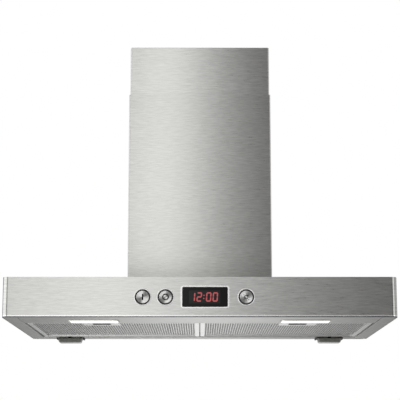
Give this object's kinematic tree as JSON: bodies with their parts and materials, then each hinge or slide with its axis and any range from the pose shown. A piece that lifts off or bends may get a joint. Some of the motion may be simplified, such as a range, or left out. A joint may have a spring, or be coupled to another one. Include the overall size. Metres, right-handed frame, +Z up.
{
  "type": "island range hood",
  "caption": "Ceiling-hung box canopy with a telescoping rectangular chimney, hinged mesh grease filters, push buttons and a lit underside.",
  "frame": {"origin": "centre of the ceiling plate's top face, which is the face that meets the ceiling", "axes": "+X to the right seen from the front, +Y to the back, +Z up; the front with the buttons is at -Y"},
  "size_m": [0.9, 0.601, 0.696],
  "materials": {
    "brushed stainless": "brushed",
    "galvanised sheet": "spangled",
    "zinc plated steel": "bright zinc",
    "anodised aluminium": "satin",
    "chromed trim": "bright",
    "spun steel": "circular grain",
    "black nylon": "matt",
    "grey lacquer": "gloss",
    "smoked plastic": "gloss",
    "white plastic": "matt",
    "circuit board": "solder mask",
    "black glass": "gloss",
    "digit module": "gloss",
    "frosted lens": "frosted, lit",
    "led board": "white mask"
  },
  "bodies": {
    "ceiling_frame": {"ceiling_plate": "galvanised sheet", "upper_uprights": "galvanised sheet", "upper_cover_front": "brushed stainless", "upper_cover_rear": "brushed stainless", "upper_screws": "zinc plated steel"},
    "canopy": {"canopy_shell": "brushed stainless", "underside_frame": "brushed stainless", "lamp_panel": "brushed stainless", "electrics_divider": "galvanised sheet", "filter_centre_rail": "galvanised sheet", "lower_uprights": "galvanised sheet", "height_bolts": "zinc plated steel", "blower_box": "galvanised sheet", "scroll_band": "galvanised sheet", "scroll_side_front": "galvanised sheet", "scroll_side_rear": "galvanised sheet", "motor": "grey lacquer", "motor_bracket": "galvanised sheet", "outlet_collar": "black nylon", "damper_pin": "zinc plated steel", "cable_gland": "black nylon", "mains_box": "white plastic", "mains_box_lid": "white plastic", "mains_board": "circuit board", "control_board": "circuit board", "control_carrier": "black nylon", "control_trim": "chromed trim", "button_sleeves": "black nylon", "switch_bodies": "black nylon", "display_glass": "black glass", "display_digits": "digit module", "lamp_housings": "black nylon", "led_boards": "led board", "lamp_lens_left": "frosted lens", "lamp_lens_right": "frosted lens", "grease_gutter": "grey lacquer", "cup_rails": "black nylon", "hood_screws": "zinc plated steel"},
    "lower_cover": {"lower_cover_front": "brushed stainless", "lower_cover_rear": "brushed stainless", "lower_screws": "zinc plated steel"},
    "fan": {"fan_wheel": "white plastic", "motor_shaft": "zinc plated steel"},
    "flap_left": {"damper_flap_left": "anodised aluminium"},
    "flap_right": {"damper_flap_right": "anodised aluminium"},
    "button_power": {"power_button": "spun steel"},
    "button_stop": {"stop_button": "spun steel"},
    "button_light": {"light_button": "spun steel"},
    "filter_left": {"filter_left_frame": "anodised aluminium", "filter_left_face": "anodised aluminium", "filter_left_core": "anodised aluminium", "filter_left_handle": "anodised aluminium"},
    "latch_left": {"filter_left_latch": "black nylon"},
    "filter_right": {"filter_right_frame": "anodised aluminium", "filter_right_face": "anodised aluminium", "filter_right_core": "anodised aluminium", "filter_right_handle": "anodised aluminium"},
    "latch_right": {"filter_right_latch": "black nylon"},
    "cup_left": {"grease_cup_left": "smoked plastic"},
    "cup_right": {"grease_cup_right": "smoked plastic"}
  },
  "joints": [
    {"name": "height_slide", "type": "slide", "parent": "ceiling_frame", "child": "canopy", "axis": [0, 0, -1], "range_m": [0, 0.3]},
    {"name": "lower_cover_lift", "type": "slide", "parent": "canopy", "child": "lower_cover", "axis": [0, 0, 1], "range_m": [0, 0.11]},
    {"name": "fan_spin", "type": "hinge", "parent": "canopy", "child": "fan", "pos_m": [-0.04, 0, -0.481], "axis": [0, 1, 0], "continuous": true},
    {"name": "flap_left_swing", "type": "hinge", "parent": "canopy", "child": "flap_left", "pos_m": [0, 0, -0.292], "axis": [0, 1, 0], "range_deg": [0, 75]},
    {"name": "flap_right_swing", "type": "hinge", "parent": "canopy", "child": "flap_right", "pos_m": [0, 0, -0.292], "axis": [0, -1, 0], "range_deg": [0, 75]},
    {"name": "power_press", "type": "slide", "parent": "canopy", "child": "button_power", "axis": [0, 1, 0], "range_m": [0, 0.0015], "stiffness_N_per_m": 800, "springref_m": -0.001},
    {"name": "stop_press", "type": "slide", "parent": "canopy", "child": "button_stop", "axis": [0, 1, 0], "range_m": [0, 0.0015], "stiffness_N_per_m": 800, "springref_m": -0.001},
    {"name": "light_press", "type": "slide", "parent": "canopy", "child": "button_light", "axis": [0, 1, 0], "range_m": [0, 0.0015], "stiffness_N_per_m": 800, "springref_m": -0.001},
    {"name": "filter_left_swing", "type": "hinge", "parent": "canopy", "child": "filter_left", "pos_m": [0, 0.233, -0.675], "axis": [1, 0, 0], "range_deg": [0, 75]},
    {"name": "latch_left_pull", "type": "slide", "parent": "filter_left", "child": "latch_left", "axis": [0, 1, 0], "range_m": [0, 0.005], "stiffness_N_per_m": 300, "springref_m": -0.002},
    {"name": "cup_left_slide", "type": "slide", "parent": "canopy", "child": "cup_left", "axis": [0, 1, 0], "range_m": [0, 0.05]},
    {"name": "filter_right_swing", "type": "hinge", "parent": "canopy", "child": "filter_right", "pos_m": [0, 0.233, -0.675], "axis": [1, 0, 0], "range_deg": [0, 75]},
    {"name": "latch_right_pull", "type": "slide", "parent": "filter_right", "child": "latch_right", "axis": [0, 1, 0], "range_m": [0, 0.005], "stiffness_N_per_m": 300, "springref_m": -0.002},
    {"name": "cup_right_slide", "type": "slide", "parent": "canopy", "child": "cup_right", "axis": [0, 1, 0], "range_m": [0, 0.05]}
  ]
}
